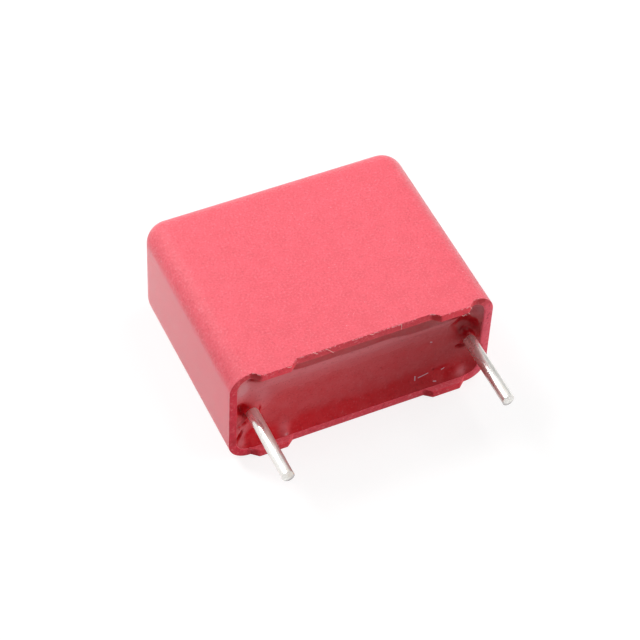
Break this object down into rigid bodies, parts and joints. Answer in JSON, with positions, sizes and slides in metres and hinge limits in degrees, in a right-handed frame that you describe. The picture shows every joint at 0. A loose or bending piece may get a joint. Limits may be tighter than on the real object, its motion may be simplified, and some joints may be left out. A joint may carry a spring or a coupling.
{
  "type": "box film capacitor",
  "caption": "Box film capacitor: a moulded box on stand-off feet, potted with casting resin, with a film winding inside and tinned wire leads for a circuit board.",
  "frame": {"origin": "middle of the broad side that the part lies on", "axes": "-Y towards the circuit board, along the leads; +Z through the thickness, away from the surface it lies on; X along the lead pitch"},
  "size_m": [0.018, 0.0198, 0.008],
  "materials": {
    "case_plastic": "moulded, spark-eroded matte texture",
    "casting_resin": "cast, set with a glossy skin",
    "metallised_film": "wound metallised film",
    "sprayed_metal": "rough sprayed metal",
    "tinned_wire": "tinned, drawn wire with sheared ends"
  },
  "bodies": {
    "root": {"case": "case_plastic", "potting_resin": "casting_resin", "film_winding": "metallised_film", "end_spray_left": "sprayed_metal", "end_spray_right": "sprayed_metal", "lead_left": "tinned_wire", "lead_right": "tinned_wire"}
  },
  "joints": []
}
